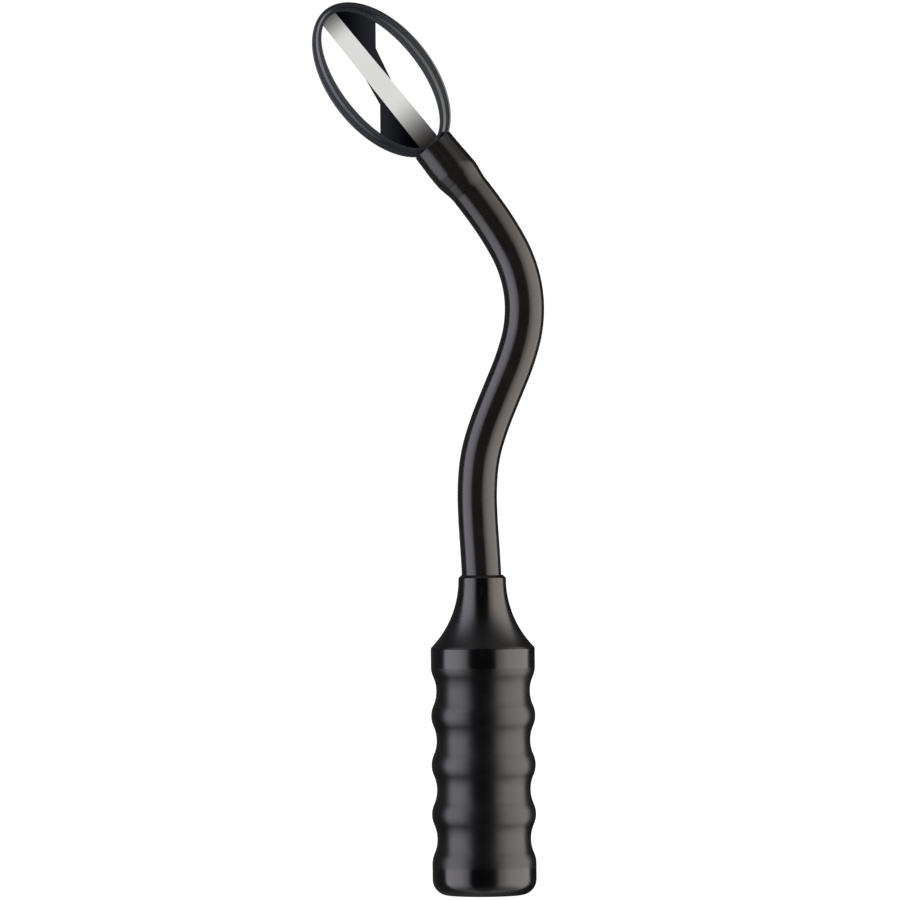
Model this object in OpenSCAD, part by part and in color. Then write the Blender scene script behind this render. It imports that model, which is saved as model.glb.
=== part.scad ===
// Flexible inspection mirror: an oval mirror on a self-holding gooseneck with a turned grip.
// Origin: centre of the grip's flat base. +Z runs up the grip, the neck curves in the XZ plane
// and the mirror looks along -Y.

/* [Grip] */
// Radius of the grip over its crests and end bands
grip_r = 14.58; // [13:0.01:16]
// Height of the grip up to the seam under the nose
grip_h = 69.1; // [66:0.1:72]
// Number of finger grooves
groove_count = 4; // [2:1:4]
// Distance from one groove to the next
groove_pitch = 13.8; // [13:0.01:14]
// Height of the lowest groove's centre
groove_first = 15.75; // [14:0.05:16]
// Depth of a finger groove below the crests
groove_depth = 1.46; // [0.8:0.01:1.8]
// Radius of the arc that forms a groove
groove_arc_r = 10; // [8:0.1:12]
// Radius of the rounding around the base
base_round = 4.5; // [2:0.1:5]
// Radius of the hollow inside the grip
hollow_r = 9.6; // [8:0.1:10]
// Thickness of the grip's closed bottom
bottom_wall = 7; // [5:0.5:12]

/* [Nose] */
// Height of the nose above the seam
nose_h = 20.5; // [20:0.05:21]
// Radius of the nose just below its top edge
nose_top_r = 6.66; // [6.5:0.01:7]
// Radius of the concave flare
flare_r = 27.3; // [27:0.1:28]
// Bevel around the top edge
nose_bevel = 0.8; // [0.5:0.05:0.9]
// Radius of the threaded spigot that screws into the grip
spigot_r = 10.9; // [10:0.1:11]
// Length of the spigot
spigot_h = 9; // [7:0.5:10]

/* [Neck] */
// Outer radius of the shrink sleeve
sleeve_r = 5.52; // [5.3:0.01:5.6]
// Wall thickness of the sleeve
sleeve_wall = 0.6; // [0.4:0.05:0.65]
// Outer radius of the gooseneck coil
coil_r = 4.3; // [4:0.1:4.4]
// Radius of the ball at a section's upper end
ball_r = 3; // [2.6:0.1:3.1]
// Gap between a ball and its cup
ball_gap = 0.2; // [0.1:0.05:0.3]
// Distance along the neck from one station to the next
station_pitch = 9.45; // [9.4:0.01:9.5]
// Turn to the right between the grip's axis and the first station, in degrees
root_turn = -2.3; // [-4:0.1:0]
// Turn to the right at each station as the neck stands, in degrees
station_turn = [-1.6, 2.3, 7, 12, 5.3, 0.2, -7.1, -14.5, -15.6, -14.1, -6.1, -3.5];
// Largest swing between two sections, from in line
max_swing = 36; // [34:1:38]

/* [Head] */
// Half the oval's length
oval_a = 24.95; // [24:0.05:26]
// Half the oval's width
oval_b = 14.77; // [14:0.01:15]
// Sideways shift of the oval from the middle of the neck's end
oval_offset = -0.16; // [-0.5:0.01:0.5]
// Half the glass's length
glass_a = 23.1; // [22:0.1:23.5]
// Half the glass's width
glass_b = 11; // [10:0.1:12]
// Thickness of the glass
glass_t = 1.8; // [1.5:0.1:2]
// Thickness of the frame, front to back
frame_t = 4.4; // [4.2:0.1:4.6]
// Radius of the ferrule that carries the mirror
ferrule_r = 5.5; // [5.4:0.05:5.6]
// Length of that ferrule
ferrule_l = 14.5; // [14:0.5:16]

/* [Hidden] */
EPS = 0.01;
EXACT = 64;
OVAL_FN = 96;

// The neck's rest curve from the height neck_z up is one arc for each stretch of sleeve,
// given as [length, turn to the right]: the root, a stretch over each station, and the head.
neck_z = 80.4;
root_l = 9.775;
head_l = 16.4;
station_count = len(station_turn);
neck_curve = [
    [root_l, root_turn],
    for (turn = station_turn) [station_pitch, turn],
    [head_l, 0]
];

function arc_move(length, turn, lean) =
    abs(turn) < EPS
    ? length * [sin(lean), cos(lean)]
    : let (r = length / turn * 180 / PI)
      r * [cos(lean) - cos(lean + turn), sin(lean + turn) - sin(lean)];
function sum_to(list, n, i = 0) = i >= n ? 0 : list[i] + sum_to(list, n, i + 1);

stretch_len = [for (c = neck_curve) c[0]];
stretch_turn = [for (c = neck_curve) c[1]];
stretch_count = len(neck_curve);
stretch_s = [for (i = [0 : stretch_count]) sum_to(stretch_len, i)];
stretch_lean = [for (i = [0 : stretch_count]) sum_to(stretch_turn, i)];
stretch_move = [for (i = [0 : stretch_count - 1]) arc_move(stretch_len[i], stretch_turn[i], stretch_lean[i])];
function stretch_at(i) = i == 0 ? [0, neck_z] : stretch_at(i - 1) + stretch_move[i - 1];
stretch_point = [for (i = [0 : stretch_count]) stretch_at(i)];
neck_end = stretch_s[stretch_count];

// Place of the neck's centre line at the distance s along it
function stretch_of(s, i = 0) = i >= stretch_count - 1 || s < stretch_s[i + 1] ? i : stretch_of(s, i + 1);
function part_turn(i, s) = stretch_turn[i] * (s - stretch_s[i]) / stretch_len[i];
function neck_point(s) =
    let (i = stretch_of(s))
    stretch_point[i] + arc_move(s - stretch_s[i], part_turn(i, s), stretch_lean[i]);
function chord_lean(p, q) = atan2(q[0] - p[0], q[1] - p[1]);

// Each station is in the middle of its stretch
station_s = [for (k = [0 : station_count - 1]) root_l + (k + 0.5) * station_pitch];
last_station = station_s[station_count - 1];

// Gaps between pieces: a thread or a brazed seat, a turned fit, a sliding fit, where the sleeve is
// cut, around the sleeve in the nose's mouth, and inside the sleeve around a ferrule
tight_gap = 0.02;
turned_gap = 0.05;
slide_gap = 0.15;
cut_gap = 0.02;
mouth_gap = 0.26;
sleeve_gap = 0.07;

// Inside of the nose and the fitting that holds the neck
rim_land = 0.3;
web_drop = 1;
mouth_depth = 4;
cup_depth = 2;
cup_height = 4;
nose_top = grip_h + nose_h;
flare_top = nose_top - nose_bevel - rim_land;
mouth_r = sleeve_r + mouth_gap;
mouth_floor = neck_z - mouth_depth;
web_bottom = grip_h - web_drop;
nut_room_r = 8.6;
stud_r = 4;
cup_r = sleeve_r - sleeve_wall - sleeve_gap;
cup_floor = neck_z - cup_depth;
cup_top = neck_z + cup_height;
lumen_r = 1.1;
washer_r = 6.6;
washer_t = 1.2;
nut_r = 7.5;
nut_t = 5;
stud_thread_out = 2;
stud_end = web_bottom - washer_t - nut_t - stud_thread_out;

// Head
oval_shift = 23.35;
taper_l = 1.6;
seat_gap = 0.1;
seat_depth = oval_a - oval_shift + seat_gap;
tang_w = 6;
tang_t = 2;
tang_l = 8;
rivet_r = 0.9;
rivet_drop = 5.5;
pad_t = 0.5;
glass_sink = 0.3;
glass_gap = 0.1;
head_sleeve_r = ferrule_r + sleeve_wall + turned_gap;
tip_bore_l = 7;
tip_coil_end = neck_end - ferrule_l + tip_bore_l - 1;

BLACK_METAL = [0.10, 0.10, 0.11];
BLACK_SLEEVE = [0.07, 0.07, 0.07];
BLACK_GLOSS = [0.14, 0.15, 0.18];
STEEL = [0.62, 0.63, 0.65];
MIRROR = [0.86, 0.88, 0.90];
FOAM = [0.25, 0.25, 0.27];

function two_digits(k) = k < 10 ? str("0", k) : str(k);
coil_names = [for (k = [1 : station_count - 1]) str("coil_", two_digits(k))];
sleeve_names = [for (k = [1 : station_count]) str("sleeve_", two_digits(k))];

// Grip: finger grooves and crests are arcs that touch each other
crest_arc_r = (pow(groove_pitch / 2, 2) + pow(groove_depth, 2)) / (2 * groove_depth) - groove_arc_r;
touch_up = groove_pitch / 2 * groove_arc_r / (groove_arc_r + crest_arc_r);
touch_r = grip_r - groove_depth + groove_arc_r - sqrt(pow(groove_arc_r, 2) - pow(touch_up, 2));
groove_last = groove_first + (groove_count - 1) * groove_pitch;

module grip_outline() {
    lower_crest = groove_first - groove_pitch / 2;
    upper_crest = groove_last + groove_pitch / 2;
    difference() {
        translate([0, base_round]) square([touch_r, grip_h - base_round]);
        for (k = [0 : groove_count - 1])
            translate([grip_r - groove_depth + groove_arc_r, groove_first + k * groove_pitch])
                circle(r = groove_arc_r, $fn = EXACT);
    }
    intersection() {
        for (k = [0 : groove_count])
            translate([grip_r - crest_arc_r, lower_crest + k * groove_pitch])
                circle(r = crest_arc_r, $fn = EXACT);
        square([grip_r + 1, grip_h]);
    }
    translate([0, base_round]) square([grip_r, lower_crest - base_round]);
    translate([0, upper_crest]) square([grip_r, grip_h - upper_crest]);
    square([grip_r - base_round, base_round + EPS]);
    intersection() {
        translate([grip_r - base_round, base_round]) circle(r = base_round, $fn = EXACT);
        square([grip_r, base_round + EPS]);
    }
}

module grip_body() {
    color(BLACK_METAL)
        rotate_extrude($fn = EXACT)
            difference() {
                grip_outline();
                translate([0, bottom_wall]) square([hollow_r, grip_h]);
                translate([0, grip_h - spigot_h]) square([spigot_r + turned_gap, spigot_h + EPS]);
            }
}

module nose_cone() {
    color(BLACK_METAL)
        rotate_extrude($fn = EXACT)
            difference() {
                union() {
                    difference() {
                        translate([0, grip_h]) square([grip_r, nose_h - nose_bevel]);
                        translate([nose_top_r + flare_r, flare_top])
                            circle(r = flare_r, $fn = EXACT);
                        translate([nose_top_r, flare_top])
                            square([grip_r, nose_h]);
                    }
                    polygon([
                        [0, nose_top - nose_bevel - 1], [nose_top_r, nose_top - nose_bevel - 1],
                        [nose_top_r, nose_top - nose_bevel], [nose_top_r - nose_bevel, nose_top], [0, nose_top]
                    ]);
                    translate([0, grip_h - spigot_h]) square([spigot_r, spigot_h + EPS]);
                }
                translate([0, mouth_floor]) square([mouth_r, nose_h + spigot_h]);
                square([stud_r + turned_gap, nose_top]);
                translate([0, grip_h - spigot_h - 1]) square([nut_room_r, web_bottom - grip_h + spigot_h + 1]);
            }
}

// Threaded fitting brazed to the coil's lower end
module lower_ferrule() {
    color(STEEL)
        rotate_extrude($fn = EXACT)
            difference() {
                union() {
                    translate([0, stud_end]) square([stud_r, mouth_floor - stud_end + EPS]);
                    translate([0, mouth_floor]) square([cup_r, cup_top - mouth_floor]);
                }
                translate([0, cup_floor]) square([coil_r + tight_gap, cup_top]);
                square([lumen_r, cup_top]);
            }
}

module lock_washer() {
    color(STEEL)
        translate([0, 0, web_bottom - washer_t])
            difference() {
                cylinder(h = washer_t, r = washer_r, $fn = EXACT);
                translate([0, 0, -1]) cylinder(h = washer_t + 2, r = stud_r + slide_gap, $fn = EXACT);
            }
}

module lock_nut() {
    nut_bevel = 0.9;
    color(STEEL)
        translate([0, 0, web_bottom - washer_t - nut_t])
            difference() {
                intersection() {
                    cylinder(h = nut_t, r = nut_r, $fn = 6);
                    union() {
                        cylinder(h = nut_bevel, r1 = nut_r - nut_bevel, r2 = nut_r + EPS, $fn = EXACT);
                        translate([0, 0, nut_bevel]) cylinder(h = nut_t, r = nut_r + EPS, $fn = EXACT);
                    }
                }
                translate([0, 0, -1]) cylinder(h = nut_t + 2, r = stud_r + tight_gap, $fn = EXACT);
            }
}

// Gooseneck coil. A section is a few turns: ridges outside, a lumen inside,
// a cup below that sits on the ball of the section under it, and a ball on top.
wire_r = 1;
wire_pitch = 2.2;
cup_rim = 0.5;
ball_stem_r = 1.9;
swing_gap = coil_r * sin(max_swing) - cup_rim * cos(max_swing) + slide_gap;
valley_depth = 0.35;
weld_overlap = 0.1;

module coil_barrel(from, to) {
    barrel_r = coil_r - valley_depth;
    turns = floor((to - from) / wire_pitch);
    first = (from + to - (turns - 1) * wire_pitch) / 2;
    translate([0, from]) square([barrel_r, to - from]);
    for (k = [0 : turns - 1])
        translate([coil_r - wire_r, first + k * wire_pitch]) circle(r = wire_r, $fn = EXACT);
}

module ball_top(barrel_top, joint) {
    intersection() {
        translate([0, joint]) circle(r = ball_r, $fn = EXACT);
        translate([0, joint - ball_r]) square(2 * ball_r);
    }
    translate([0, barrel_top - EPS]) square([ball_stem_r, joint - barrel_top]);
}

module cup_hollow() {
    circle(r = ball_r + ball_gap, $fn = EXACT);
    translate([0, -coil_r]) square([2 * coil_r, coil_r + cup_rim]);
}

module lumen(length) {
    translate([-1, -coil_r]) square([1 + lumen_r, length + 3 * coil_r]);
}

module coil_section(k) {
    p = neck_point(station_s[k - 1]);
    q = neck_point(station_s[k]);
    joint = norm(q - p);
    barrel_top = joint - swing_gap;
    color(STEEL)
        translate([p[0], 0, p[1]])
            rotate([0, chord_lean(p, q), 0])
                rotate_extrude($fn = EXACT)
                    difference() {
                        union() {
                            coil_barrel(cup_rim, barrel_top);
                            ball_top(barrel_top, joint);
                        }
                        cup_hollow();
                        lumen(joint);
                    }
}

module coil_root() {
    bend_s = cup_top - neck_z;
    p = neck_point(bend_s);
    q = neck_point(station_s[0]);
    joint = norm(q - p);
    barrel_top = joint - swing_gap;
    color(STEEL)
        difference() {
            union() {
                translate([0, 0, cup_floor]) cylinder(h = cup_top - cup_floor, r = coil_r, $fn = EXACT);
                translate([p[0], 0, p[1]])
                    rotate([0, chord_lean(p, q), 0])
                        rotate_extrude($fn = EXACT)
                            difference() {
                                union() {
                                    coil_barrel(-weld_overlap, barrel_top);
                                    ball_top(barrel_top, joint);
                                }
                                lumen(joint);
                            }
            }
            translate([0, 0, cup_floor - 1]) cylinder(h = cup_top - cup_floor + 2, r = lumen_r, $fn = EXACT);
        }
}

module coil_tip() {
    p = neck_point(last_station);
    q = neck_point(tip_coil_end);
    color(STEEL)
        translate([p[0], 0, p[1]])
            rotate([0, chord_lean(p, q), 0])
                rotate_extrude($fn = EXACT)
                    difference() {
                        coil_barrel(cup_rim, norm(q - p));
                        cup_hollow();
                        lumen(norm(q - p));
                    }
}

// Sleeve over stretch i of the neck: 0 is the root, and the stretch over station k is k
module sleeve_ring() {
    difference() {
        circle(r = sleeve_r, $fn = EXACT);
        circle(r = sleeve_r - sleeve_wall, $fn = EXACT);
    }
}

module sleeve_stretch(i) {
    p = stretch_point[i];
    turn = stretch_turn[i];
    bend_r = turn == 0 ? 0 : stretch_len[i] / turn * 180 / PI;
    share = 1 - cut_gap / stretch_len[i];
    color(BLACK_SLEEVE)
        translate([p[0], 0, p[1]])
            rotate([0, stretch_lean[i], 0])
                if (turn == 0)
                    linear_extrude(share * stretch_len[i]) sleeve_ring();
                else
                    translate([bend_r, 0, 0])
                        rotate([90, 0, turn > 0 ? 180 : 0])
                            rotate_extrude(angle = share * abs(turn), $fn = EXACT)
                                translate([abs(bend_r), 0]) sleeve_ring();
}

// Head: x across the mirror, y front to back, z out along the neck's end
module at_neck_end() {
    p = stretch_point[stretch_count];
    translate([p[0], 0, p[1]])
        rotate([0, stretch_lean[stretch_count], 0])
            children();
}

module sleeve_head() {
    thick_from = -ferrule_l + taper_l;
    inner = sleeve_r - sleeve_wall;
    color(BLACK_SLEEVE)
        at_neck_end()
            rotate_extrude($fn = EXACT)
                difference() {
                    polygon([
                        [0, -head_l], [sleeve_r, -head_l], [sleeve_r, -ferrule_l],
                        [head_sleeve_r, thick_from], [head_sleeve_r, 0], [0, 0]
                    ]);
                    polygon([
                        [-1, -head_l - 1], [inner, -head_l - 1], [inner, -ferrule_l],
                        [ferrule_r + tight_gap, thick_from], [ferrule_r + tight_gap, 1], [-1, 1]
                    ]);
                }
}

module upper_ferrule() {
    color(STEEL)
        at_neck_end()
            difference() {
                rotate_extrude($fn = EXACT)
                    difference() {
                        polygon([
                            [0, -ferrule_l], [cup_r, -ferrule_l], [ferrule_r, -ferrule_l + taper_l],
                            [ferrule_r, 0], [0, 0]
                        ]);
                        translate([-1, -ferrule_l - 1]) square([1 + coil_r + tight_gap, 1 + tip_bore_l]);
                    }
                translate([-2 * ferrule_r, -frame_t / 2 - seat_gap, -seat_depth])
                    cube([4 * ferrule_r, frame_t + 2 * seat_gap, seat_depth + 1]);
                translate([-tang_w / 2 - seat_gap, -tang_t / 2 - seat_gap, -tang_l - seat_gap])
                    cube([tang_w + 2 * seat_gap, tang_t + 2 * seat_gap, tang_l + 1]);
                translate([0, 0, -rivet_drop])
                    rotate([90, 0, 0])
                        cylinder(h = 4 * ferrule_r, r = rivet_r + tight_gap, center = true, $fn = EXACT);
            }
}

module tang_rivet() {
    rivet_sink = 0.25;
    rivet_l = 2 * (ferrule_r - rivet_sink);
    color(STEEL)
        at_neck_end()
            translate([0, 0, -rivet_drop])
                rotate([90, 0, 0])
                    cylinder(h = rivet_l, r = rivet_r, center = true, $fn = EXACT);
}

function oval(a, b) = [for (k = [0 : OVAL_FN - 1]) [b * sin(360 * k / OVAL_FN), a * cos(360 * k / OVAL_FN)]];

// A plate with the oval's outline, from y0 to y1, with its middle over the oval's centre
module oval_plate(a, b, y0, y1) {
    translate([oval_offset, y1, oval_shift])
        rotate([90, 0, 0])
            linear_extrude(y1 - y0)
                polygon(oval(a, b));
}

recess_floor = -frame_t / 2 + glass_sink + glass_t + pad_t;

module mirror_frame() {
    lip = 1.1;
    color(BLACK_GLOSS)
        at_neck_end()
            difference() {
                union() {
                    hull() {
                        oval_plate(oval_a - lip, oval_b - lip, -frame_t / 2, frame_t / 2);
                        oval_plate(oval_a, oval_b, -frame_t / 2 + lip, frame_t / 2 - lip);
                    }
                    translate([-tang_w / 2, -tang_t / 2, -tang_l])
                        cube([tang_w, tang_t, tang_l]);
                }
                oval_plate(glass_a + glass_gap, glass_b + glass_gap, -frame_t, recess_floor);
                translate([0, 0, -rivet_drop])
                    rotate([90, 0, 0])
                        cylinder(h = 2 * frame_t, r = rivet_r + tight_gap, center = true, $fn = EXACT);
            }
}

module glass_pad() {
    margin = 1.5;
    color(FOAM)
        at_neck_end()
            oval_plate(glass_a - margin, glass_b - margin, recess_floor - pad_t, recess_floor);
}

module mirror_glass() {
    front = -frame_t / 2 + glass_sink;
    color(MIRROR)
        at_neck_end()
            oval_plate(glass_a, glass_b, front, front + glass_t);
}

grip_body();
nose_cone();
lower_ferrule();
lock_washer();
lock_nut();
coil_root();
sleeve_stretch(0);  // sleeve_root
for (k = [1 : station_count - 1])
    coil_section(k);
for (k = [1 : station_count])
    sleeve_stretch(k);
coil_tip();
upper_ferrule();
tang_rivet();
sleeve_head();
mirror_frame();
glass_pad();
mirror_glass();
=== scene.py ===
"""Looks for the flexible inspection mirror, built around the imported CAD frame. Metres, CAD frame."""
import math

import bpy
from mathutils import Matrix, Vector


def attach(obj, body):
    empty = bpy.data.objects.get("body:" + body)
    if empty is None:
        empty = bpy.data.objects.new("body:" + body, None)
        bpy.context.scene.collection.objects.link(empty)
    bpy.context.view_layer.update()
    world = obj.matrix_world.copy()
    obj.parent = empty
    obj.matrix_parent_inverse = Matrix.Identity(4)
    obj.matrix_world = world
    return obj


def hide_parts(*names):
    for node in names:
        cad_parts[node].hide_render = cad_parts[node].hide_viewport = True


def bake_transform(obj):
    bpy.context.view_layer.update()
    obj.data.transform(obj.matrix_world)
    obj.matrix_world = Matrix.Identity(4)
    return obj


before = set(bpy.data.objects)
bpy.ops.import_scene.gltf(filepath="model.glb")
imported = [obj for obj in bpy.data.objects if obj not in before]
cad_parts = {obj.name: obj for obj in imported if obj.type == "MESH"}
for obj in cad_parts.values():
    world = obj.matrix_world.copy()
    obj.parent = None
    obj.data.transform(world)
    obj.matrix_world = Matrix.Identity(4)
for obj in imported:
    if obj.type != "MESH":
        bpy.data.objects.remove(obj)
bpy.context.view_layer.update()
MM = 0.001

# ---------------------------------------------------------------- sizes, in millimetres
GRIP_R, GRIP_H = 14.58, 69.1
GROOVE_COUNT, GROOVE_PITCH, GROOVE_FIRST, GROOVE_DEPTH, GROOVE_ARC_R = 4, 13.8, 15.75, 1.46, 10.0
BASE_ROUND, HOLLOW_R, BOTTOM_WALL = 4.5, 9.6, 7.0
NOSE_TOP = 89.6
NOSE_TOP_R, FLARE_R, NOSE_BEVEL = 6.66, 27.3, 0.8
SPIGOT_R, SPIGOT_H, STUD_BORE_R, NUT_ROOM_R, WEB_BOTTOM, MOUTH_FLOOR = 10.9, 9.0, 4.05, 8.6, 68.1, 76.4
SPIGOT_GAP, EDGE_ROUND, NOSE_LAND = 0.05, 0.12, 0.3
SLEEVE_R, SLEEVE_WALL, MOUTH_GAP = 5.52, 0.6, 0.26
MOUTH_R = SLEEVE_R + MOUTH_GAP
NECK_Z, ROOT_L, PITCH, HEAD_L = 80.4, 9.775, 9.45, 16.4
ROOT_TURN = -2.3
STATION_TURN = [-1.6, 2.3, 7, 12, 5.3, 0.2, -7.1, -14.5, -15.6, -14.1, -6.1, -3.5]
OVAL_A, OVAL_B, OVAL_SHIFT, OVAL_OFFSET = 25.1, 14.77, 23.2, -0.16
# the glass as it shows: a little smaller than its blank, and set slightly along and across the head
GLASS_A, GLASS_B, GLASS_T, GLASS_SINK, GLASS_GAP = 22.75, 10.95, 1.8, 0.3, 0.05
GLASS_SET = Vector((0.1, -0.2))
FRAME_T, PAD_T = 4.4, 0.5
FERRULE_R, FERRULE_L, FERRULE_GAP, FERRULE_TAPER = 5.5, 14.5, 0.02, 1.6
TANG_W, TANG_T, TANG_L = 6.0, 2.0, 8.0


# ---------------------------------------------------------------- mesh helpers
def make_object(name, vertices, faces, smooth_angle=35):
    """A mesh object from points in millimetres, smooth except across edges sharper than smooth_angle."""
    mesh = bpy.data.meshes.new(name)
    mesh.from_pydata([tuple(c * MM for c in v) for v in vertices], [], faces)
    mesh.validate()
    mesh.shade_smooth()
    mesh.set_sharp_from_angle(angle=math.radians(smooth_angle))
    obj = bpy.data.objects.new(name, mesh)
    bpy.context.scene.collection.objects.link(obj)
    return obj


def arc(cx, cy, r, start, end, count):
    """Points of an arc, angles in degrees, both ends included."""
    steps = [math.radians(start + (end - start) * i / count) for i in range(count + 1)]
    return [(cx + r * math.cos(a), cy + r * math.sin(a)) for a in steps]


def rounded(corners, count=4):
    """An outline of straight lines whose corners (x, y, radius) are rounded."""
    points = []
    for i, (x, y, r) in enumerate(corners):
        if r == 0:
            points.append((x, y))
            continue
        here = Vector((x, y))
        before = Vector(corners[i - 1][:2])
        after = Vector(corners[(i + 1) % len(corners)][:2])
        d0, d1 = (before - here).normalized(), (after - here).normalized()
        half = d0.angle(d1) / 2
        reach = r / math.tan(half)
        centre = here + (d0 + d1).normalized() * (r / math.sin(half))
        a, b = here + d0 * reach - centre, here + d1 * reach - centre
        for k in range(count + 1):
            v = a.lerp(b, k / count)
            v = v.normalized() * r
            points.append(tuple(centre + v))
    return points


def lathe(name, outline, segments=192, closed=False):
    """A solid turned about Z from an outline of (radius, height). Ends at radius 0 close on the axis."""
    vertices, rings = [], []
    for r, z in outline:
        if r < 1e-6:
            rings.append([len(vertices)])
            vertices.append((0, 0, z))
        else:
            rings.append(list(range(len(vertices), len(vertices) + segments)))
            for k in range(segments):
                a = 2 * math.pi * k / segments
                vertices.append((r * math.cos(a), r * math.sin(a), z))
    pairs = list(zip(rings, rings[1:]))
    if closed:
        pairs.append((rings[-1], rings[0]))
    faces = []
    for low, high in pairs:
        for k in range(segments):
            n = (k + 1) % segments
            if len(low) == 1:
                faces.append((low[0], high[n], high[k]))
            elif len(high) == 1:
                faces.append((low[k], low[n], high[0]))
            else:
                faces.append((low[k], low[n], high[n], high[k]))
    return make_object(name, vertices, faces)


# ---------------------------------------------------------------- the neck's rest curve
STRETCHES = [(ROOT_L, ROOT_TURN)] + [(PITCH, t) for t in STATION_TURN] + [(HEAD_L, 0.0)]


def arc_move(length, turn, lean):
    if abs(turn) < 1e-3:
        return (length * math.sin(math.radians(lean)), length * math.cos(math.radians(lean)))
    r = length / math.radians(turn)
    a, b = math.radians(lean), math.radians(lean + turn)
    return (r * (math.cos(a) - math.cos(b)), r * (math.sin(b) - math.sin(a)))


CUTS = [(0.0, 0.0, NECK_Z, 0.0)]
for length, turn in STRETCHES:
    s, x, z, lean = CUTS[-1]
    dx, dz = arc_move(length, turn, lean)
    CUTS.append((s + length, x + dx, z + dz, lean + turn))
NECK_END = CUTS[-1]


def neck_at(i, share):
    """Centre point and lean at a share of stretch i."""
    s, x, z, lean = CUTS[i]
    length, turn = STRETCHES[i]
    dx, dz = arc_move(length * share, turn * share, lean)
    return x + dx, z + dz, lean + turn * share


def neck_point(i, share, radius, angle):
    """A point of the neck at angle round it: 0 is the +X side, 90 is the back (+Y)."""
    x, z, lean = neck_at(i, share)
    a, l = math.radians(angle), math.radians(lean)
    side = radius * math.cos(a)
    return (x + side * math.cos(l), radius * math.sin(a), z - side * math.sin(l))


def tube(name, i, rings, segments, outer, inner):
    """A closed tube wall over stretch i. outer and inner give the radius at (mm along the neck, angle)."""
    s0, length = CUTS[i][0], STRETCHES[i][0]
    stations = [(k / rings, outer) for k in range(rings + 1)]
    stations += [(k / rings, inner) for k in range(rings, -1, -1)]
    vertices, flat = [], []
    for share, radius in stations:
        s = s0 + share * length
        for k in range(segments):
            angle = 360 * k / segments
            r = radius(s, angle)
            vertices.append(neck_point(i, share, r, angle))
            flat.append((r * math.cos(math.radians(angle)), r * math.sin(math.radians(angle)), s))
    faces = []
    count = len(stations)
    for j in range(count):
        a, b = j * segments, ((j + 1) % count) * segments
        for k in range(segments):
            n = (k + 1) % segments
            faces.append((a + k, a + n, b + n, b + k))
    obj = make_object(name, vertices, faces, smooth_angle=50)
    attribute = obj.data.attributes.new("straight", "FLOAT_VECTOR", "POINT")
    attribute.data.foreach_set("vector", [c for v in flat for c in v])
    return obj


# ---------------------------------------------------------------- material helpers
class Nodes:
    """Short names for building a node tree."""

    def __init__(self, tree):
        self.tree = tree
        tree.nodes.clear()

    def add(self, kind, **values):
        node = self.tree.nodes.new(kind)
        for key, value in values.items():
            setattr(node, key, value)
        return node

    def link(self, source, target):
        if isinstance(source, bpy.types.NodeSocket):
            self.tree.links.new(source, target)
        else:
            target.default_value = source

    def math(self, operation, a, b=0.0):
        node = self.add("ShaderNodeMath", operation=operation)
        for socket, value in zip(node.inputs, (a, b)):
            self.link(value, socket)
        return node.outputs[0]

    def span(self, value, low, high, to_low=0.0, to_high=1.0, smooth=True):
        node = self.add("ShaderNodeMapRange", interpolation_type="SMOOTHSTEP" if smooth else "LINEAR")
        self.link(value, node.inputs["Value"])
        node.inputs["From Min"].default_value = low
        node.inputs["From Max"].default_value = high
        self.link(to_low, node.inputs["To Min"])
        self.link(to_high, node.inputs["To Max"])
        return node.outputs["Result"]

    def mix(self, share, a, b):
        node = self.add("ShaderNodeMix", data_type="RGBA")
        self.link(share, node.inputs["Factor"])
        self.link(a, node.inputs[6])
        self.link(b, node.inputs[7])
        return node.outputs[2]

    def scaled(self, vector, x, y, z):
        node = self.add("ShaderNodeMapping")
        self.link(vector, node.inputs["Vector"])
        node.inputs["Scale"].default_value = (x, y, z)
        return node.outputs["Vector"]

    def noise(self, vector, scale, detail=2.0, roughness=0.5):
        node = self.add("ShaderNodeTexNoise")
        self.link(vector, node.inputs["Vector"])
        node.inputs["Scale"].default_value = scale
        node.inputs["Detail"].default_value = detail
        node.inputs["Roughness"].default_value = roughness
        return node.outputs["Fac"]

    def bump(self, height, distance, normal=None):
        node = self.add("ShaderNodeBump")
        self.link(height, node.inputs["Height"])
        node.inputs["Distance"].default_value = distance
        if normal is not None:
            self.link(normal, node.inputs["Normal"])
        return node.outputs["Normal"]

    def shader(self, color, roughness, normal=None, **constants):
        node = self.add("ShaderNodeBsdfPrincipled")
        self.link(color, node.inputs["Base Color"])
        self.link(roughness, node.inputs["Roughness"])
        if normal is not None:
            self.link(normal, node.inputs["Normal"])
        for key, value in constants.items():
            node.inputs[key.replace("_", " ")].default_value = value
        output = self.add("ShaderNodeOutputMaterial")
        self.link(node.outputs["BSDF"], output.inputs["Surface"])
        return node


def new_material(name):
    material = bpy.data.materials.new(name)
    material.use_nodes = True
    return material, Nodes(material.node_tree)


def wear(obj, material):
    obj.data.materials.clear()
    obj.data.materials.append(material)


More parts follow.
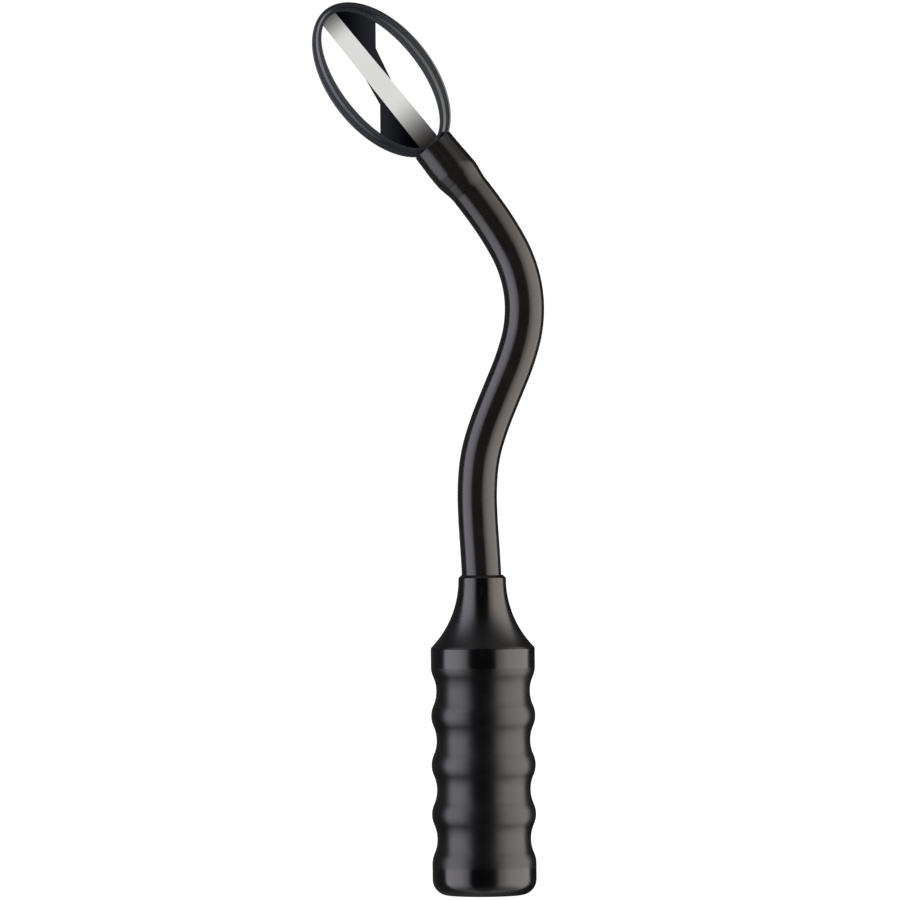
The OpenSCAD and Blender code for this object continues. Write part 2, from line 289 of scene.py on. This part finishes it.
# ---------------------------------------------------------------- materials
def anodised_material():
    """Black anodised, turned aluminium: faint turning lines, satin with smoother end bands and nose top."""
    material, n = new_material("anodised_black")
    place = n.add("ShaderNodeTexCoord").outputs["Object"]
    axes = n.add("ShaderNodeSeparateXYZ")
    n.link(place, axes.inputs[0])
    z = axes.outputs["Z"]
    # the grip's end bands are smoother than its grooves, and the nose grows smoother upwards
    low_band = n.span(z, 0.0072, 0.0084, 1.0, 0.0)
    high_band = n.math("MULTIPLY", n.span(z, 0.0633, 0.0641), n.span(z, 0.0690, 0.0692, 1.0, 0.0))
    smooth_zone = n.math("MAXIMUM", low_band, high_band)
    rings = n.noise(n.scaled(place, 30, 30, 5200), 1.0, 3.0, 0.6)
    coarse_rings = n.noise(n.scaled(place, 12, 12, 900), 1.0, 2.0)
    grain = n.noise(place, 9000, 2.0)
    handling = n.noise(place, 95, 4.0, 0.55)
    polish = n.math("MAXIMUM", smooth_zone, n.span(z, 0.0730, 0.0850, 0.0, 0.9))
    base = n.span(polish, 0.0, 1.0, 0.31, 0.19, smooth=False)
    roughness = n.math("ADD", base, n.span(handling, 0.3, 0.7, -0.02, 0.03))
    roughness = n.math("ADD", roughness, n.span(rings, 0.3, 0.7, -0.012, 0.012))
    color = n.mix(n.span(handling, 0.35, 0.75), (0.0012, 0.0012, 0.0014, 1), (0.0022, 0.0021, 0.0023, 1))
    normal = n.bump(rings, 0.0000016)
    normal = n.bump(coarse_rings, 0.000005, normal)
    normal = n.bump(grain, 0.0000003, normal)
    surface = n.shader(color, roughness, normal, IOR=1.5)
    bright_zone = n.math("MAXIMUM", smooth_zone, n.span(z, 0.0690, 0.0692))
    sheen = n.math("ADD", n.math("MULTIPLY", bright_zone, 0.06), 0.44)
    # painted shade: the grooves' upper flanks face down and their reflection is dimmed, mostly on the -X
    # side
    facing = n.add("ShaderNodeSeparateXYZ")
    n.link(n.add("ShaderNodeNewGeometry").outputs["Normal"], facing.inputs[0])
    downward = n.span(facing.outputs["Z"], -0.42, -0.04, 1.0, 0.0, smooth=False)
    flank_shade = n.math("MULTIPLY", downward, n.span(z, 0.0085, 0.0095))
    flank_shade = n.math("MULTIPLY", flank_shade, n.span(facing.outputs["X"], -0.15, 0.25, 1.0, 0.15))
    sheen = n.math("MULTIPLY", sheen, n.math("SUBTRACT", 1.0, n.math("MULTIPLY", flank_shade, 0.5)))
    n.link(sheen, surface.inputs["Specular IOR Level"])
    return material


def sleeve_material():
    """Black shrink sleeve: semi-gloss, faint lengthwise drawing lines and a slight orange peel."""
    material, n = new_material("shrink_sleeve")
    place = n.add("ShaderNodeAttribute", attribute_name="straight").outputs["Vector"]
    peel = n.noise(place, 0.9, 2.0)
    lines = n.noise(n.scaled(place, 3.2, 3.2, 0.05), 1.0, 2.0)
    fine = n.noise(place, 9.0, 3.0)
    blotch = n.noise(place, 0.16, 3.0)
    roughness = n.math("ADD", n.span(blotch, 0.3, 0.7, 0.15, 0.20), n.span(fine, 0.3, 0.7, -0.012, 0.018))
    color = n.mix(n.span(blotch, 0.3, 0.7), (0.0064, 0.0060, 0.0057, 1), (0.0086, 0.0081, 0.0075, 1))
    normal = n.bump(peel, 0.000007)
    normal = n.bump(lines, 0.000004, normal)
    normal = n.bump(fine, 0.0000004, normal)
    surface = n.shader(color, roughness, normal, IOR=1.5)
    # painted shade: the +X side's reflection is dimmed towards the head, most of all in a patch by the
    # mirror
    axes = n.add("ShaderNodeSeparateXYZ")
    n.link(place, axes.inputs[0])
    x, y, s = axes.outputs
    side = n.span(x, 0.2, 1.4)
    painted_side_shade = n.math("MULTIPLY", n.span(s, 92.0, 112.0), side)
    edge = n.math("ADD", n.math("MULTIPLY", x, 0.55), n.math("MULTIPLY", n.noise(place, 0.7, 2.0), 1.6))
    # painted shade: the patch by the mirror where the sleeve's reflection is cut
    patch = n.span(n.math("ADD", s, edge), NECK_END[0] - 7.2, NECK_END[0] - 5.6)
    patch = n.math("MULTIPLY", patch, n.math("MULTIPLY", side, n.span(y, -0.5, 0.5, 1.0, 0.0)))
    patch = n.math("MULTIPLY", patch, n.span(x, 2.6, 5.0, 0.45, 0.85))
    level = n.math("MULTIPLY", n.math("SUBTRACT", 1.0, n.math("MULTIPLY", painted_side_shade, 0.35)), 0.42)
    level = n.math("MULTIPLY", level, n.math("SUBTRACT", 1.0, patch))
    n.link(level, surface.inputs["Specular IOR Level"])
    return material


def frame_material():
    """Glossy blue-black moulding."""
    material, n = new_material("frame_gloss")
    place = n.add("ShaderNodeTexCoord").outputs["Object"]
    cloud = n.noise(place, 160, 3.0)
    fine = n.noise(place, 5200, 2.0)
    color = n.mix(n.span(cloud, 0.3, 0.7), (0.0100, 0.0112, 0.0150, 1), (0.0125, 0.0138, 0.0180, 1))
    roughness = n.math("ADD", n.span(cloud, 0.3, 0.7, 0.075, 0.095), n.span(fine, 0.3, 0.7, -0.006, 0.008))
    normal = n.bump(n.noise(place, 700, 2.0), 0.0000008)
    normal = n.bump(fine, 0.0000001, normal)
    n.shader(color, roughness, normal, IOR=1.5, Specular_IOR_Level=0.62, Specular_Tint=(0.92, 0.97, 1.0, 1))
    return material


def mirror_material():
    """Silvered glass with faint wipe marks."""
    material, n = new_material("mirror_glass")
    place = n.add("ShaderNodeTexCoord").outputs["Object"]
    wipe = n.noise(n.scaled(place, 420, 30, 60), 1.0, 3.0)
    film = n.noise(place, 60, 2.0)
    roughness = n.span(wipe, 0.45, 0.8, 0.002, 0.008)
    color = n.mix(n.span(film, 0.3, 0.7), (0.925, 0.935, 0.935, 1), (0.945, 0.950, 0.950, 1))
    n.shader(color, roughness, Metallic=1.0)
    return material


def glass_edge_material():
    """The glass's ground edge."""
    material, n = new_material("glass_edge")
    place = n.add("ShaderNodeTexCoord").outputs["Object"]
    grain = n.noise(place, 4000, 2.0)
    color = n.mix(n.span(grain, 0.3, 0.7), (0.030, 0.040, 0.042, 1), (0.055, 0.068, 0.070, 1))
    normal = n.bump(grain, 0.000003)
    n.shader(color, n.span(grain, 0.3, 0.7, 0.28, 0.42), normal, IOR=1.52)
    return material


def steel_material(name, dark, light, dullness):
    """Steel with fine brushing, between two tones; dullness is added to its roughness."""
    material, n = new_material(name)
    place = n.add("ShaderNodeTexCoord").outputs["Object"]
    brushed = n.noise(n.scaled(place, 900, 900, 5000), 1.0, 3.0)
    patch = n.noise(place, 300, 3.0)
    color = n.mix(n.span(patch, 0.3, 0.7), dark, light)
    roughness = n.math("ADD", n.span(patch, 0.3, 0.7, 0.24 + dullness, 0.34 + dullness),
                       n.span(brushed, 0.3, 0.7, -0.03, 0.04))
    n.shader(color, roughness, n.bump(brushed, 0.000004), Metallic=1.0)
    return material


def foam_material():
    """Dense adhesive foam."""
    material, n = new_material("foam_tape")
    place = n.add("ShaderNodeTexCoord").outputs["Object"]
    cells = n.add("ShaderNodeTexVoronoi")
    n.link(place, cells.inputs["Vector"])
    cells.inputs["Scale"].default_value = 4200
    distance = cells.outputs["Distance"]
    color = n.mix(n.span(distance, 0.0, 0.7), (0.03, 0.03, 0.032, 1), (0.07, 0.07, 0.074, 1))
    n.shader(color, n.span(distance, 0.0, 0.7, 0.85, 0.95), n.bump(distance, 0.00005))
    return material


ANODISED = anodised_material()
SLEEVE = sleeve_material()
FRAME = frame_material()
MIRROR = mirror_material()
GLASS_EDGE = glass_edge_material()
STEEL = steel_material("steel", (0.50, 0.51, 0.53, 1), (0.62, 0.63, 0.64, 1), 0.0)
# painted shade: a darkened steel for the ferrule end that shows in the sleeve's mouth
SHADE_STEEL = steel_material("steel_darkened_as_shade", (0.030, 0.031, 0.034, 1), (0.055, 0.056, 0.060, 1), 0.2)
FOAM = foam_material()


# ---------------------------------------------------------------- grip and nose
def grip_outline():
    """Radius and height of the grip, from the bottom's centre round the outside and down the hollow."""
    crest_r = ((GROOVE_PITCH / 2) ** 2 + GROOVE_DEPTH ** 2) / (2 * GROOVE_DEPTH) - GROOVE_ARC_R
    touch = math.degrees(math.asin(GROOVE_PITCH / 2 / (GROOVE_ARC_R + crest_r)))
    crest_x, groove_x = GRIP_R - crest_r, GRIP_R - GROOVE_DEPTH + GROOVE_ARC_R
    points = [(0, 0), (GRIP_R - BASE_ROUND, 0)]
    points += arc(GRIP_R - BASE_ROUND, BASE_ROUND, BASE_ROUND, -90, 0, 24)
    lower_crest = GROOVE_FIRST - GROOVE_PITCH / 2
    for k in range(GROOVE_COUNT):
        crest = lower_crest + k * GROOVE_PITCH
        groove = GROOVE_FIRST + k * GROOVE_PITCH
        points += arc(crest_x, crest, crest_r, 0, touch, 10)
        points += arc(groove_x, groove, GROOVE_ARC_R, 180 + touch, 180 - touch, 18)[1:-1]
        points += arc(crest_x, crest + GROOVE_PITCH, crest_r, -touch, 0, 10)
    points += arc(GRIP_R - EDGE_ROUND, GRIP_H - EDGE_ROUND, EDGE_ROUND, 0, 90, 4)
    socket_r = SPIGOT_R + SPIGOT_GAP
    points += [(socket_r, GRIP_H), (socket_r, GRIP_H - SPIGOT_H), (HOLLOW_R, GRIP_H - SPIGOT_H)]
    points += [(HOLLOW_R, BOTTOM_WALL), (0, BOTTOM_WALL)]
    distinct = [points[0]]
    for p in points[1:]:
        if math.dist(p, distinct[-1]) > 1e-4:
            distinct.append(p)
    return distinct


def nose_outline():
    """Radius and height of the nose, a closed loop round the bore."""
    flare_top = NOSE_TOP - NOSE_BEVEL - NOSE_LAND
    rim_drop = 0.02
    foot = math.degrees(math.asin((flare_top - GRIP_H) / FLARE_R))
    flare = arc(NOSE_TOP_R + FLARE_R, flare_top, FLARE_R, 180 + foot, 180, 40)
    flare = [(min(r, GRIP_R), z) for r, z in flare]
    points = [(SPIGOT_R, GRIP_H - SPIGOT_H), (SPIGOT_R, GRIP_H)]
    points += [(GRIP_R - EDGE_ROUND, GRIP_H), (GRIP_R - 0.02, GRIP_H + 0.06)]
    points += [(r, z) for r, z in flare if z > GRIP_H + 0.2]
    top = rounded([
        (NOSE_TOP_R, flare_top, 0), (NOSE_TOP_R, NOSE_TOP - NOSE_BEVEL, 0.25),
        (NOSE_TOP_R - NOSE_BEVEL, NOSE_TOP, 0.1), (MOUTH_R, NOSE_TOP - rim_drop, 0),
    ], 4)
    points += top[1:]
    points += [(MOUTH_R, MOUTH_FLOOR), (STUD_BORE_R, MOUTH_FLOOR), (STUD_BORE_R, WEB_BOTTOM)]
    points += [(NUT_ROOM_R, WEB_BOTTOM), (NUT_ROOM_R, GRIP_H - SPIGOT_H)]
    return points


grip = lathe("grip_turned", grip_outline())
wear(grip, ANODISED)
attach(grip, "handle")
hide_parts("grip_body")

nose = lathe("nose_turned", nose_outline(), closed=True)
wear(nose, ANODISED)
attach(nose, "handle")
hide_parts("nose_cone")

# ---------------------------------------------------------------- sleeve
INNER_R = SLEEVE_R - SLEEVE_WALL
STATION_COUNT = len(STATION_TURN)


def plain_outer(s, angle):
    return SLEEVE_R


def plain_inner(s, angle):
    return INNER_R


def smooth(low, high, value):
    t = min(1.0, max(0.0, (value - low) / (high - low)))
    return t * t * (3 - 2 * t)


root = tube("sleeve_start", 0, 20, 128, plain_outer, plain_inner)
wear(root, SLEEVE)
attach(root, "handle")
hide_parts("sleeve_root")

for k in range(1, STATION_COUNT + 1):
    piece = tube(f"sleeve_bend_{k:02d}", k, 28, 128, plain_outer, plain_inner)
    wear(piece, SLEEVE)
    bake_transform(piece)
    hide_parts(f"sleeve_{k:02d}")


def head_outer(s, angle):
    """The sleeve shrunk over the ferrule: fullest where the ferrule starts, leaning to -X at its end."""
    back = NECK_END[0] - s
    side = math.cos(math.radians(angle))
    front = smooth(0.55, 0.95, math.cos(math.radians(angle - 240)))
    full = 6.07 + 0.21 * smooth(0, 9, back) - 0.30 * side ** 3 * (1 - smooth(5, 15.5, back))
    bulge = 1 - smooth(10.2, 16.4, back)
    long_taper = 1 - min(1, max(0, (back - 9.4) / 7.0))
    bulge += (long_taper - bulge) * front
    crease = 0.03 * front * math.exp(-((back - 12.8) / 0.45) ** 2)
    return SLEEVE_R + (full - SLEEVE_R) * bulge - crease


def head_inner(s, angle):
    back = NECK_END[0] - s
    widening = 1 - smooth(FERRULE_L - FERRULE_TAPER, FERRULE_L, back)
    seat = INNER_R + (FERRULE_R + FERRULE_GAP - INNER_R) * widening
    return min(head_outer(s, angle) - 0.2, seat)


head_sleeve = tube("sleeve_end", STATION_COUNT + 1, 72, 160, head_outer, head_inner)
wear(head_sleeve, SLEEVE)
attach(head_sleeve, "mirror_head")
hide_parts("sleeve_head")

# ---------------------------------------------------------------- mirror head
HEAD_LEAN = math.radians(NECK_END[3])
AXIS_U = Vector((math.sin(HEAD_LEAN), 0, math.cos(HEAD_LEAN)))
AXIS_N = Vector((math.cos(HEAD_LEAN), 0, -math.sin(HEAD_LEAN)))
OVAL_CENTRE = Vector((NECK_END[1], 0, NECK_END[2])) + AXIS_U * OVAL_SHIFT + AXIS_N * OVAL_OFFSET


def oval_solid(name, rings, segments=256):
    """A solid from oval rings (half length, half width, y, shift along and across). Zero size is a point."""
    vertices, loops = [], []
    for a, b, y, shift in rings:
        centre = OVAL_CENTRE + AXIS_U * shift[0] + AXIS_N * shift[1] + Vector((0, y, 0))
        if a < 1e-6:
            loops.append([len(vertices)])
            vertices.append(centre)
            continue
        loops.append(list(range(len(vertices), len(vertices) + segments)))
        for k in range(segments):
            t = 2 * math.pi * k / segments
            vertices.append(centre + AXIS_U * (a * math.cos(t)) + AXIS_N * (b * math.sin(t)))
    faces = []
    for low, high in zip(loops, loops[1:]):
        for k in range(segments):
            n = (k + 1) % segments
            if len(low) == 1:
                faces.append((low[0], high[n], high[k]))
            elif len(high) == 1:
                faces.append((low[k], low[n], high[0]))
            else:
                faces.append((low[k], low[n], high[n], high[k]))
    return make_object(name, vertices, faces, smooth_angle=40)


FRONT = -FRAME_T / 2
GLASS_FRONT = FRONT + GLASS_SINK
RECESS_FLOOR = GLASS_FRONT + GLASS_T + PAD_T
INNER_A, INNER_B = GLASS_A + GLASS_GAP, GLASS_B + GLASS_GAP


def rim_ring(share, y):
    """An oval ring at a share of the rim's width, 0 at the glass and 1 at the outer edge."""
    a = INNER_A + (OVAL_A - INNER_A) * share
    return (a, INNER_B + (OVAL_B - INNER_B) * share, y, GLASS_SET * (1 - share))


def bent_line(t, bend):
    """From 0 to 1 at a steady slope, with a short curve at each end."""
    if t > 0.5:
        return 1 - bent_line(1 - t, bend)
    if t < bend:
        return t * t / (2 * bend * (1 - bend))
    return (t - bend / 2) / (1 - bend)


def frame_rings():
    rings = [(0, 0, RECESS_FLOOR, GLASS_SET)]
    rings += [(INNER_A * k / 3, INNER_B * k / 3, RECESS_FLOOR, GLASS_SET) for k in (1, 2, 3)]
    rings += [rim_ring(0.0, FRONT + 0.06), rim_ring(0.006, FRONT + 0.02)]
    # the flat inner land, a sloping shoulder down to the flat outer land, then the rounded edge
    shoulder_from, shoulder_to, drop = 0.30, 0.62, 0.42
    rings += [rim_ring(share, FRONT) for share in (0.014, 0.03, 0.15, shoulder_from - 0.01)]
    steps = 20
    for k in range(steps + 1):
        share = shoulder_from + (shoulder_to - shoulder_from) * k / steps
        rings.append(rim_ring(share, FRONT + drop * bent_line(k / steps, 0.15)))
    edge_share, edge_drop = 0.86, 0.7
    rings += [rim_ring(share, FRONT + drop) for share in (shoulder_to + 0.01, 0.74, edge_share - 0.015)]
    for k in range(0, 13):
        turn = math.radians(90 * k / 12)
        share = edge_share + (1 - edge_share) * math.sin(turn)
        rings.append(rim_ring(share, FRONT + drop + edge_drop * (1 - math.cos(turn))))
    back_edge = 1.1
    for k in range(0, 9):
        turn = math.radians(90 * k / 8)
        share = 1 - 0.25 * (1 - math.cos(turn))
        rings.append(rim_ring(share, -FRONT - back_edge + back_edge * math.sin(turn)))
    rings += [(INNER_A * k, INNER_B * k, -FRONT, (0, 0)) for k in (0.9, 0.6, 0.3, 0)]
    return rings


mirror_frame = oval_solid("mirror_rim", frame_rings())
wear(mirror_frame, FRAME)
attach(mirror_frame, "mirror_head")
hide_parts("mirror_frame")


def glass_rings():
    bevel = 0.03
    back = GLASS_FRONT + GLASS_T
    rings = [(GLASS_A * k / 4, GLASS_B * k / 4, GLASS_FRONT) for k in (0, 1, 2, 3)]
    rings += [(GLASS_A - bevel, GLASS_B - bevel, GLASS_FRONT), (GLASS_A, GLASS_B, GLASS_FRONT + bevel)]
    rings += [(GLASS_A, GLASS_B, back), (GLASS_A / 2, GLASS_B / 2, back), (0, 0, back)]
    return [(*ring, GLASS_SET) for ring in rings]


glass = oval_solid("mirror_plate", glass_rings())
glass.data.materials.append(MIRROR)
glass.data.materials.append(GLASS_EDGE)
for polygon in glass.data.polygons:
    polygon.material_index = 0 if polygon.center.y < (GLASS_FRONT + 0.01) * MM else 1
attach(glass, "mirror_head")
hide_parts("mirror_glass")


def tang_object():
    """The rim's tang, a bevelled tongue inside the ferrule."""
    edge = 0.25
    outline = rounded([
        (-TANG_W / 2, 1.0, 0), (-TANG_W / 2, -TANG_L, 0.8), (TANG_W / 2, -TANG_L, 0.8), (TANG_W / 2, 1.0, 0),
    ], 5)
    end = Vector((NECK_END[1], 0, NECK_END[2]))
    layers = [(-TANG_T / 2, edge), (-TANG_T / 2 + edge, 0), (TANG_T / 2 - edge, 0), (TANG_T / 2, edge)]
    vertices = []
    for y, inset in layers:
        for x, z in outline:
            px = x * (1 - 2 * inset / TANG_W)
            pz = z if z > 0 else z * (1 - inset / TANG_L)
            vertices.append(end + AXIS_N * px + AXIS_U * pz + Vector((0, y, 0)))
    count = len(outline)
    faces = [tuple(range(count))[::-1], tuple(range(3 * count, 4 * count))]
    for layer in range(3):
        low, high = layer * count, (layer + 1) * count
        for k in range(count):
            n = (k + 1) % count
            faces.append((low + k, low + n, high + n, high + k))
    return make_object("mirror_tang", vertices, faces)


tang = tang_object()
wear(tang, FRAME)
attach(tang, "mirror_head")

for name in ["lower_ferrule", "lock_washer", "lock_nut", "coil_root", "coil_tip", "tang_rivet"]:
    wear(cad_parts[name], STEEL)
# painted shade: the upper ferrule gets darkened steel so that its end, which shows in the sleeve's mouth,
# reads as a dark recess
wear(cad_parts["upper_ferrule"], SHADE_STEEL)
for k in range(1, STATION_COUNT):
    wear(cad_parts[f"coil_{k:02d}"], STEEL)
wear(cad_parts["glass_pad"], FOAM)

# ---------------------------------------------------------------- stage
CAMERA_X, CAMERA_Z, CAMERA_DISTANCE = -8.71, 124.68, 2200.0
VIEW_WIDTH = 252.0
CAMERA_ROLL = math.radians(0.47)


def build_world():
    """Two tall soft lights left and right of the camera; the camera itself sees plain white."""
    world = bpy.data.worlds.new("studio")
    bpy.context.scene.world = world
    world.use_nodes = True
    n = Nodes(world.node_tree)
    axes = n.add("ShaderNodeSeparateXYZ")
    n.link(n.add("ShaderNodeTexCoord").outputs["Generated"], axes.inputs[0])
    x, y, z = axes.outputs
    azimuth = n.math("DEGREES", n.math("ARCTAN2", x, n.math("MULTIPLY", y, -1.0)))
    elevation = n.math("DEGREES", n.math("ARCSINE", z))
    low = n.span(elevation, -56, -18, 0.17, 1.0)
    left_height = n.math("MULTIPLY", low, n.span(elevation, 30, 64, 1.0, 0.10))
    right_height = n.math("MULTIPLY", low, n.span(elevation, 26, 62, 1.0, 0.06))
    left = n.math("MULTIPLY", n.span(azimuth, -97, -93), n.span(azimuth, -36, -32, 1.0, 0.0))
    left = n.math("MULTIPLY", left, n.span(azimuth, -56, -36, 1.04, 0.5, smooth=False))
    right = n.math("MULTIPLY", n.span(azimuth, 27, 31), n.span(azimuth, 115, 121, 1.0, 0.0))
    right = n.math("MULTIPLY", right, n.span(azimuth, 28, 58, 0.5, 1.55, smooth=False))
    right = n.math("MULTIPLY", right, n.span(azimuth, 80, 112, 1.0, 0.78, smooth=False))
    left = n.math("MULTIPLY", n.math("MULTIPLY", left, left_height), 3.45)
    right = n.math("MULTIPLY", n.math("MULTIPLY", right, right_height), 2.45)
    left_color = n.mix(left, (0, 0, 0, 1), (0.985, 0.955, 1.04, 1))
    right_color = n.mix(right, (0, 0, 0, 1), (1.06, 1.0, 0.955, 1))
    for node in n.tree.nodes:
        if node.bl_idname == "ShaderNodeMix":
            node.clamp_factor = False
    floor_glow = n.span(elevation, -90, -25, 0.36, 0.0)
    sky_glow = n.span(elevation, 40, 85, 0.0, 0.14)
    back_glow = n.math("ADD", n.span(y, 0.3, 0.9, 0.010, 0.03), n.span(azimuth, -102, -96, 0.05, 0.0))
    fill = n.math("ADD", n.math("ADD", floor_glow, sky_glow), back_glow)
    total = n.add("ShaderNodeVectorMath", operation="ADD")
    n.link(left_color, total.inputs[0])
    n.link(right_color, total.inputs[1])
    with_fill = n.add("ShaderNodeVectorMath", operation="ADD")
    n.link(total.outputs[0], with_fill.inputs[0])
    n.link(fill, with_fill.inputs[1])
    lights = n.add("ShaderNodeBackground")
    n.link(with_fill.outputs[0], lights.inputs["Color"])
    white = n.add("ShaderNodeBackground")
    white.inputs["Color"].default_value = (1, 1, 1, 1)
    white.inputs["Strength"].default_value = 1.05
    choose = n.add("ShaderNodeMixShader")
    n.link(n.add("ShaderNodeLightPath").outputs["Is Camera Ray"], choose.inputs[0])
    n.link(lights.outputs[0], choose.inputs[1])
    n.link(white.outputs[0], choose.inputs[2])
    output = n.add("ShaderNodeOutputWorld")
    n.link(choose.outputs[0], output.inputs["Surface"])
    world.cycles.sampling_method = "MANUAL"
    world.cycles.sample_map_resolution = 1024


def build_floor():
    """A pale floor that meets the white background with no visible edge."""
    material, n = new_material("floor_paper")
    diffuse = n.add("ShaderNodeBsdfDiffuse")
    diffuse.inputs["Color"].default_value = (0.3, 0.3, 0.3, 1)
    glow = n.add("ShaderNodeEmission")
    glow.inputs["Color"].default_value = (1, 1, 1, 1)
    glow.inputs["Strength"].default_value = 0.95
    both = n.add("ShaderNodeAddShader")
    n.link(diffuse.outputs[0], both.inputs[0])
    n.link(glow.outputs[0], both.inputs[1])
    clear = n.add("ShaderNodeBsdfTransparent")
    choose = n.add("ShaderNodeMixShader")
    n.link(n.add("ShaderNodeNewGeometry").outputs["Backfacing"], choose.inputs[0])
    n.link(both.outputs[0], choose.inputs[1])
    n.link(clear.outputs[0], choose.inputs[2])
    output = n.add("ShaderNodeOutputMaterial")
    n.link(choose.outputs[0], output.inputs["Surface"])
    size, segments = 4000.0, 96
    angles = [2 * math.pi * k / segments for k in range(segments)]
    rim = [(size * math.cos(a), size * math.sin(a), 0) for a in angles]
    floor = make_object("studio_floor", rim, [tuple(range(segments))])
    wear(floor, material)
    floor.visible_glossy = False


CARD_DISTANCE, CARD_BACK = 900.0, 0.3
# the card's own centre, a little nearer the neck than the oval's
CARD_CENTRE = OVAL_CENTRE - AXIS_U * CARD_BACK
# display tones, and where the band fades in and out along the head
BAND_BRIGHT, BAND_DARK = 218, 15
BAND_RISE, BAND_FALL = (-26, -6.5), (15, 29)
WEDGE_GREY, WEDGE_BLACK = 36, 1


def card_point(u, v, lift):
    """Where the camera sees, in the mirror at (u along the head, v across it), a card in front of it."""
    on_glass = CARD_CENTRE + AXIS_U * u + AXIS_N * v
    reach = CARD_DISTANCE / CAMERA_DISTANCE
    x = on_glass.x + (on_glass.x - CAMERA_X) * reach
    z = on_glass.z + (on_glass.z - CAMERA_Z) * reach
    return (x, GLASS_FRONT - CARD_DISTANCE + lift, z)


def display_light(tone):
    """Linear light of a display tone from 0 to 255."""
    c = tone / 255
    return c / 12.92 if c < 0.04 else ((c + 0.055) / 1.055) ** 2.4


def fade(start, end, tone, end_tone, place):
    """A tone that changes softly from start to end, at a place along the card."""
    return tone + (end_tone - tone) * smooth(start, end, place)


def build_card():
    """The studio card that the mirror shows: white, with a grey band that fades out and two dark wedges."""
    vertices, faces, tones = [], [], []
    # the share of light that the glass returns
    silver = 0.93

    def patch(corners, lift):
        start = len(vertices)
        for u, v, (red, green, blue) in corners:
            vertices.append(card_point(u, v, lift))
            tones.append(tuple(display_light(c) / silver for c in (red, green, blue)))
        faces.append(tuple(range(start, len(vertices))))

    def upright(w, v):
        """How far along the head a point at v lies on the upright line w to the right of the centre."""
        return (w - v * AXIS_N.x) / AXIS_U.x

    def night(tone):
        return (tone, tone + 0.5, tone + 4)

    def wedge(start, black, end, near, far, corner, tip):
        """Grey at its upright side at start, fading to black at black, and black from there to end."""
        strips = 16
        sides = [start + (end - start) * k / strips for k in range(strips + 1)]
        for w0, w1 in zip(sides, sides[1:]):
            t0, t1 = [night(fade(start, black, WEDGE_GREY, WEDGE_BLACK, w)) for w in (w0, w1)]
            patch([(upright(w, v), v, t) for w, v, t in
                   ((w0, near, t0), (w1, near, t1), (w1, far, t1), (w0, far, t0))], 0.5)
        grey = night(WEDGE_GREY)
        patch([(*tip, grey), (*corner, grey), (upright(start, near), near, grey), (tip[0], near, grey)], 0.6)

    def band_tone(u):
        return min(fade(*BAND_RISE, BAND_DARK, BAND_BRIGHT, u), fade(*BAND_FALL, BAND_BRIGHT, BAND_DARK, u))

    white = (258, 258, 258)
    patch([(-24, -17, white), (26, -17, white), (26, 17, white), (-24, 17, white)], 0)
    wedge(-1.65, -14, -16, 0.5, 17, (8.3, 4.3), (-1.6, 2.05))
    wedge(-0.6, 9, 16, -2.5, -17, (-5.6, -4.75), (3.4, -3.35))
    for u0 in range(-24, 26):
        u1 = u0 + 1
        corners = [(u0, -3.4), (u1, -3.4), (u1, 2.0 - 0.022 * u1), (u0, 2.0 - 0.022 * u0)]
        greys = [(u, v, band_tone(u)) for u, v in corners]
        patch([(u, v, (t, t - 1, t - 3)) for u, v, t in greys], 1.0)
    card = make_object("studio_card", vertices, faces)
    colors = card.data.color_attributes.new("tone", "FLOAT_COLOR", "POINT")
    for item, tone in zip(colors.data, tones):
        item.color = (*tone, 1)
    material, n = new_material("card_print")
    glow = n.add("ShaderNodeEmission")
    n.link(n.add("ShaderNodeAttribute", attribute_name="tone").outputs["Color"], glow.inputs["Color"])
    output = n.add("ShaderNodeOutputMaterial")
    n.link(glow.outputs[0], output.inputs["Surface"])
    wear(card, material)
    card.visible_camera = False
    card.visible_diffuse = False
    card.visible_shadow = False


def build_camera():
    data = bpy.data.cameras.new("camera")
    data.sensor_width = 36.0
    data.lens = data.sensor_width * CAMERA_DISTANCE / VIEW_WIDTH
    data.clip_start, data.clip_end = 0.05, 50.0
    camera = bpy.data.objects.new("camera", data)
    bpy.context.scene.collection.objects.link(camera)
    facing = Matrix.Rotation(math.radians(90), 4, "X")
    roll = Matrix.Rotation(-CAMERA_ROLL, 4, "Z")
    place = Matrix.Translation(Vector((CAMERA_X, -CAMERA_DISTANCE, CAMERA_Z)) * MM)
    camera.matrix_world = place @ facing @ roll
    bpy.context.scene.camera = camera


build_world()
build_floor()
build_card()
build_camera()
scene = bpy.context.scene
scene.view_settings.view_transform = "Standard"
scene.view_settings.look = "None"

bpy.context.view_layer.update()
